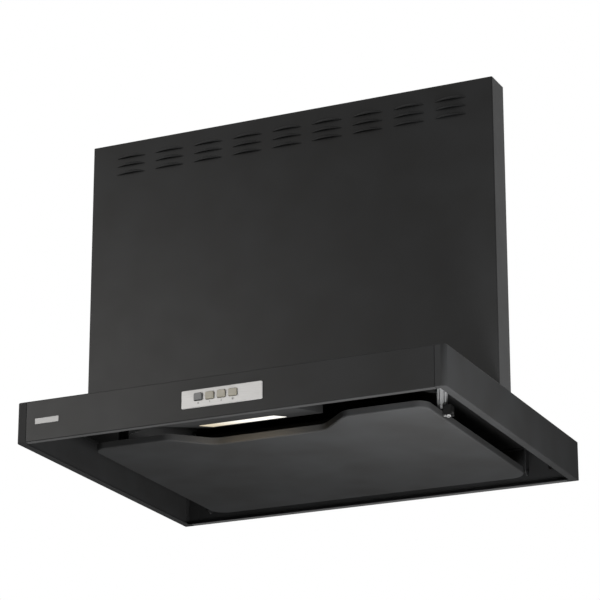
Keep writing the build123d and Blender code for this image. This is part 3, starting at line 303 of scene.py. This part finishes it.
def brushed_metal(name, dark, light, stretch, grain, roughness, metallic=1.0):
    """Metal with fine strokes along the axis whose stretch is small."""
    tree, shader = start(name, roughness, metallic=metallic)
    strokes = noise(tree, position(tree, stretch), grain, STROKE_DETAIL)
    colour(tree, shader, shades(tree, strokes, dark, light))
    gloss(tree, shader, strokes, roughness - STROKE_STRAY_DOWN, roughness + STROKE_STRAY_UP)
    relief(tree, shader, strokes, STROKE_DEPTH)


def moulding(name, dark, light, roughness):
    """Moulded plastic with a fine spark texture."""
    tree, shader = start(name, roughness)
    place = position(tree)
    colour(tree, shader, shades(tree, noise(tree, place, MOULDING_CLOUD), dark, light))
    texture = noise(tree, place, SPARK_GRAIN)
    gloss(tree, shader, texture, roughness - MOULDING_STRAY, roughness + MOULDING_STRAY)
    relief(tree, shader, texture, SPARK_DEPTH)


def circuit_board(name):
    """Green board with paler copper tracks under its coating."""
    tree, shader = start(name, BOARD_ROUGHNESS)
    tracks = tree.nodes.new("ShaderNodeTexBrick")
    tracks.inputs["Scale"].default_value = BOARD_TRACK_SCALE
    tracks.inputs["Color1"].default_value = (*BOARD_GREEN, 1.0)
    tracks.inputs["Color2"].default_value = (*BOARD_DARK_GREEN, 1.0)
    tracks.inputs["Mortar"].default_value = (*BOARD_TRACK, 1.0)
    tree.links.new(position(tree), tracks.inputs["Vector"])
    colour(tree, shader, tracks.outputs["Color"])
    relief(tree, shader, tracks.outputs["Fac"], BOARD_TRACK_DEPTH)


def lit_lens(name):
    """Frosted lamp cover, lit from behind, white to the right and warmer to the left."""
    tree, shader = start(name, FROST_ROUGHNESS)
    low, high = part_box("lamp_cover")
    place = position(tree)
    split = tree.nodes.new("ShaderNodeSeparateXYZ")
    tree.links.new(place, split.inputs["Vector"])
    along = between(tree, split.outputs["X"], 0.0, 1.0, low.x, high.x)
    glow = shades(tree, along, LENS_WARM, LENS_WHITE, LENS_WARM_END, LENS_WHITE_END)
    tree.links.new(glow, shader.inputs["Emission Color"])
    shader.inputs["Emission Strength"].default_value = LENS_GLOW
    frost = noise(tree, place, FROST_GRAIN)
    colour(tree, shader, shades(tree, frost, FROST_DARK, FROST_LIGHT))
    relief(tree, shader, frost, FROST_DEPTH)


def opal_glass(name):
    """White diffusing bulb."""
    tree, shader = start(name, OPAL_ROUGHNESS)
    clouds = noise(tree, position(tree), OPAL_CLOUD)
    colour(tree, shader, shades(tree, clouds, OPAL_DARK, OPAL_LIGHT))
    shader.inputs["Coat Weight"].default_value = OPAL_COAT


def make_materials():
    """Every material of the hood."""
    satin_paint("black_paint", grey(0.017), grey(0.021, 0.05), roughness=0.38, specular=0.085)
    # Lighter copy of the black paint with almost no gloss, for the side panels: painted light, its lighter
    # colour stands in for the sheen that the sides catch
    satin_paint("black_side_lit_copy", grey(0.032), grey(0.038, 0.04), roughness=0.42, specular=0.003)
    # Lighter copy of the black paint with no gloss, for the flow panel: painted light, its lighter colour
    # stands in for the floor's reflection in the panel's underside
    satin_paint(
        "black_panel", grey(0.042), grey(0.05, 0.04), roughness=0.36, specular=0.0,
        grain=0.0016, depth=0.00002,
    )
    # Lighter copy of the black paint with almost no gloss, for the lamp housing and its catch: painted
    # light in the shade under the rim
    satin_paint("black_inside_lit_copy", grey(0.022), grey(0.027, 0.04), roughness=0.42, specular=0.003)

    zinc_sheet(
        "galvanised", grey(0.48, 0.03), grey(0.66, 0.03), spangle=0.012, roughness=0.45, metallic=0.4
    )
    # Copy of the galvanised zinc without its metal gloss, for the right catch bracket: painted light, so
    # that the bracket looks lit in the shade under the rim
    zinc_sheet("zinc_lit_copy", grey(0.36, 0.02), grey(0.44, 0.02), spangle=0.01, roughness=0.5, metallic=0.0)
    zinc_sheet("fan_steel", grey(0.34, 0.04), grey(0.5, 0.04), spangle=0.006, roughness=0.45)
    zinc_sheet("damper_sheet", grey(0.44, 0.04), grey(0.6, 0.04), spangle=0.008, roughness=0.42)

    brushed_metal("bright_steel", grey(0.72), grey(0.85), STROKES_ALONG_X, grain=0.0008, roughness=0.2)
    brushed_metal("zinc_screw", grey(0.06), grey(0.12), NO_STROKES, grain=0.001, roughness=0.4)
    brushed_metal(
        "silver_plate", grey(0.39, -0.02), grey(0.47, -0.02), STROKES_ALONG_X,
        grain=0.0005, roughness=0.45, metallic=0.1,
    )
    brushed_metal(
        "silver_badge", grey(0.17), grey(0.225), STROKES_ALONG_X, grain=0.0005, roughness=0.4, metallic=0.1
    )
    brushed_metal(
        "motor_case", grey(0.2, 0.04), grey(0.3, 0.04), STROKES_ALONG_Y, grain=0.002, roughness=0.4
    )

    moulding("button_grey", grey(0.075, 0.04), grey(0.095, 0.04), roughness=0.5)
    moulding("button_beige", (0.25, 0.235, 0.19), (0.295, 0.275, 0.225), roughness=0.5)
    moulding("switch_moulding", grey(0.02), grey(0.03), roughness=0.5)
    moulding("white_moulding", (0.7, 0.69, 0.65), (0.78, 0.77, 0.73), roughness=0.45)
    moulding("black_moulding", grey(0.008), grey(0.014), roughness=0.4)
    moulding("capacitor_case", grey(0.6, -0.03), grey(0.68, -0.03), roughness=0.4)
    moulding("grey_moulding", grey(0.2), grey(0.25), roughness=0.5)
    moulding("legend_ink", grey(0.02), grey(0.03), roughness=0.5)

    circuit_board("circuit_board")
    lit_lens("lamp_lens")
    opal_glass("lamp_glass")


# Pieces given a lit copy of their slot's material, lighter or without gloss: painted light where these
# pieces stand
REFINED = {
    "catch_bracket_right": "zinc_lit_copy",
    "lamp_cover_catch": "black_inside_lit_copy",
    "lamp_housing": "black_inside_lit_copy",
    "side_panel_left": "black_side_lit_copy",
    "side_panel_right": "black_side_lit_copy",
}


def paint_nodes():
    """Give every piece of the frame the material of its slot, or its own."""
    for row in frame["record"]["subparts"]:
        mesh = nodes[row["node"]].data
        mesh.materials.clear()
        mesh.materials.append(MATERIALS[REFINED.get(row["node"], row["material_slot"])])


def soften_edges(name):
    """Small rounding on the sharp edges of one piece."""
    piece = nodes[name]
    weld = piece.modifiers.new("weld", "WELD")
    weld.merge_threshold = WELD_DISTANCE
    flat = piece.modifiers.new("flat", "DECIMATE")
    flat.decimate_type = "DISSOLVE"
    flat.angle_limit = math.radians(FLAT_ANGLE)
    bevel = piece.modifiers.new("edges", "BEVEL")
    bevel.width = EDGE_WIDTH
    bevel.segments = EDGE_SEGMENTS
    bevel.limit_method = "ANGLE"
    bevel.angle_limit = math.radians(EDGE_ANGLE)
    bevel.harden_normals = True


# Marks and fasteners

def add_piece(name, outlines, slot, body):
    """Mesh piece of the scene that moves with a body, joined from outlines of points and faces."""
    points = []
    faces = []
    for more_points, more_faces in outlines:
        first = len(points)
        points += more_points
        faces += [tuple(first + k for k in face) for face in more_faces]
    mesh = bpy.data.meshes.new(name)
    mesh.from_pydata(points, [], faces)
    mesh.materials.append(MATERIALS[slot])
    piece = bpy.data.objects.new(name, mesh)
    scene.collection.objects.link(piece)
    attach(piece, body)
    return piece


def round_places(count):
    """Directions evenly round a circle, as cosine and sine."""
    angles = [2 * math.pi * i / count for i in range(count)]
    return [(math.cos(angle), math.sin(angle)) for angle in angles]


def number_mark(text):
    """Outline of a plain number, centred, as points and faces."""
    curve = bpy.data.curves.new("glyph", "FONT")
    curve.body = text
    curve.align_x = "CENTER"
    curve.align_y = "CENTER"
    curve.offset = LEGEND_BOLD
    letter = bpy.data.objects.new("glyph", curve)
    mesh = bpy.data.meshes.new_from_object(letter)
    points = [(vertex.co.x * LEGEND_HEIGHT, vertex.co.y * LEGEND_HEIGHT) for vertex in mesh.vertices]
    faces = [tuple(polygon.vertices) for polygon in mesh.polygons]
    bpy.data.objects.remove(letter)
    bpy.data.curves.remove(curve)
    bpy.data.meshes.remove(mesh)
    return points, faces


def sun_mark():
    """Disc with rays, as points and faces."""
    rim = 2 * SUN_RAYS
    points = [(SUN_RADIUS * u, SUN_RADIUS * v) for u, v in round_places(rim)]
    faces = [tuple(range(rim))]
    half = SUN_RAY_WIDTH / 2
    corners = ((SUN_RAY_INNER, -half), (SUN_RAY_OUTER, -half), (SUN_RAY_OUTER, half), (SUN_RAY_INNER, half))
    for u, v in round_places(SUN_RAYS):
        first = len(points)
        points += [(u * reach - v * side, v * reach + u * side) for reach, side in corners]
        faces.append(tuple(range(first, first + len(corners))))
    return points, faces


def legends():
    """Number under each fan button and a sun under the lamp button."""
    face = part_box("switch_plate")[0].y - LEGEND_PROUD
    outlines = []
    for i, text in enumerate(LEGENDS):
        low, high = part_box(f"button_{i + 1}")
        x = (low.x + high.x) / 2
        z = (low.z + high.z) / 2 - LEGEND_DROP
        points, faces = sun_mark() if text == "sun" else number_mark(text)
        outlines.append(([(x + u, face, z + v) for u, v in points], faces))
    add_piece("legends", outlines, "legend_ink", "hood")


def rivet_head(place, out):
    """Dome that stands on place and points along out, as points and faces."""
    foot = Vector(place)
    out = Vector(out)
    side = out.orthogonal().normalized()
    other = out.cross(side)
    points = []
    for share, rise in RIVET_PROFILE:
        for u, v in round_places(RIVET_SIDES):
            ring = side * u + other * v
            points.append(foot + ring * RIVET_RADIUS * share + out * RIVET_HEIGHT * rise)
    tip = len(points)
    points.append(foot + out * RIVET_HEIGHT)
    faces = []
    for start_of_ring in range(0, tip, RIVET_SIDES):
        for i in range(RIVET_SIDES):
            a = start_of_ring + i
            b = start_of_ring + (i + 1) % RIVET_SIDES
            if start_of_ring + RIVET_SIDES < tip:
                faces.append((a, b, b + RIVET_SIDES, a + RIVET_SIDES))
            else:
                faces.append((a, b, tip))
    return points, faces


def spread(low, high):
    """Places between two ends, about one rivet pitch apart."""
    count = max(2, round((high - low) / RIVET_PITCH) + 1)
    return [low + (high - low) * i / (count - 1) for i in range(count)]


def rivets():
    """Rivets along the edges of the fan box, and on the terminal box."""
    heads = []
    low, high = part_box("fan_box_front")
    for z in spread(low.z + RIVET_EDGE, high.z - RIVET_EDGE):
        for x in (low.x + RIVET_EDGE, high.x - RIVET_EDGE):
            heads.append(rivet_head((x, low.y, z), (0, -1, 0)))
    low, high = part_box("fan_box_top")
    for y in spread(low.y + 2 * RIVET_EDGE, high.y - 2 * RIVET_EDGE):
        for x in (low.x + RIVET_EDGE, high.x - RIVET_EDGE):
            heads.append(rivet_head((x, y, high.z), (0, 0, 1)))
    low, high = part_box("terminal_box")
    for x in (low.x + RIVET_EDGE, high.x - RIVET_EDGE):
        for y in (low.y + RIVET_EDGE, high.y - RIVET_EDGE):
            heads.append(rivet_head((x, y, high.z), (0, 0, 1)))
    piece = add_piece("rivets", heads, "galvanised", "hood")
    for polygon in piece.data.polygons:
        polygon.use_smooth = True


# Surround: white to the eye and in reflections, a floor that keeps the shadow, soft lamps

def seen_directly(tree):
    """1 for rays from the camera, from a reflection or through glass, else 0."""
    path = tree.nodes.new("ShaderNodeLightPath")
    total = path.outputs["Is Camera Ray"]
    for name in ("Is Glossy Ray", "Is Transmission Ray"):
        total = combine(tree, "MAXIMUM", total, path.outputs[name])
    return total


def surround():
    """White world that gives only a little light."""
    world = bpy.data.worlds.new("surround")
    scene.world = world
    world.use_nodes = True
    tree = world.node_tree
    background = tree.nodes["Background"]
    background.inputs["Color"].default_value = (1.0, 1.0, 1.0, 1.0)
    tree.links.new(between(tree, seen_directly(tree), AMBIENT, 1.0), background.inputs["Strength"])


def floor_surface(name):
    """Pale floor, plain white away from the object and clear when seen from underneath."""
    tree, shader = start(name, FLOOR_ROUGHNESS, specular=0.0)
    place = position(tree, (1.0, 1.0, 0.0))
    mottle = noise(tree, place, FLOOR_MOTTLE)
    colour(tree, shader, shades(tree, mottle, grey(FLOOR_DARK), grey(FLOOR_LIGHT)))
    distance = tree.nodes.new("ShaderNodeVectorMath")
    distance.operation = "LENGTH"
    tree.links.new(place, distance.inputs[0])
    away = between(tree, distance.outputs["Value"], 0.0, 1.0, FLOOR_PLAIN_RADIUS, FLOOR_WHITE_RADIUS)
    share = combine(tree, "MULTIPLY", away, seen_directly(tree))
    white = tree.nodes.new("ShaderNodeEmission")
    top = blend(tree, share, shader.outputs[0], white.outputs[0])
    side = tree.nodes.new("ShaderNodeNewGeometry")
    clear = tree.nodes.new("ShaderNodeBsdfTransparent")
    both = blend(tree, side.outputs["Backfacing"], top, clear.outputs[0])
    tree.links.new(both, tree.nodes["Material Output"].inputs["Surface"])


def floor():
    """Wide plane far below the hood."""
    mesh = bpy.data.meshes.new("floor")
    corners = [(-1, -1), (1, -1), (1, 1), (-1, 1)]
    mesh.from_pydata([(x * FLOOR_HALF, y * FLOOR_HALF, FLOOR_Z) for x, y in corners], [], [(0, 1, 2, 3)])
    plane = bpy.data.objects.new("floor", mesh)
    scene.collection.objects.link(plane)
    floor_surface("floor")
    mesh.materials.append(MATERIALS["floor"])


def lamp(name, place, target, width, height, power, tint=(1.0, 1.0, 1.0), mirrored=True):
    """Soft box at place that faces target, seen in reflections only if mirrored."""
    light = bpy.data.lights.new(name, "AREA")
    light.shape = "RECTANGLE"
    light.size = width
    light.size_y = height
    light.energy = power
    light.color = tint
    box = bpy.data.objects.new(name, light)
    box.location = place
    box.rotation_euler = (Vector(target) - Vector(place)).to_track_quat("-Z", "Y").to_euler()
    box.visible_camera = False
    box.visible_glossy = mirrored
    scene.collection.objects.link(box)


def studio_lamps():
    """Key lamp at the left, and two for the right side and the panel that stay out of reflections."""
    lamp("key", KEY_PLACE, KEY_TARGET, KEY_SIZE, KEY_SIZE, KEY_POWER, KEY_COLOUR)
    lamp("right", RIGHT_PLACE, RIGHT_TARGET, RIGHT_SIZE, RIGHT_SIZE, RIGHT_POWER, mirrored=False)
    lamp("below", BELOW_PLACE, BELOW_TARGET, BELOW_SIZE, BELOW_SIZE, BELOW_POWER, mirrored=False)


def lens_light():
    """Warm light that the lamp cover throws down on the panel's notch."""
    low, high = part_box("lamp_cover")
    slope = math.atan2(high.z - low.z, high.y - low.y)
    down = Vector((0.0, math.sin(slope), -math.cos(slope)))
    place = (low + high) / 2 + down * LENS_LIGHT_GAP
    target = place + down
    lamp("lens", place, target, LENS_LIGHT_WIDTH, LENS_LIGHT_LENGTH, LENS_LIGHT_POWER, LENS_LIGHT_COLOUR)


def camera():
    """Camera below the hood's rim, to its right."""
    lens = bpy.data.cameras.new("camera")
    lens.lens = CAMERA_LENS
    lens.sensor_width = CAMERA_SENSOR
    eye = bpy.data.objects.new("camera", lens)
    eye.location = CAMERA_PLACE
    eye.rotation_euler = (math.radians(90.0 + CAMERA_PITCH), 0.0, math.radians(CAMERA_YAW))
    scene.collection.objects.link(eye)
    scene.camera = eye


make_materials()
paint_nodes()
for name in SOFTENED:
    soften_edges(name)
legends()
rivets()
surround()
floor()
studio_lamps()
lens_light()
camera()

scene.view_settings.view_transform = "Standard"
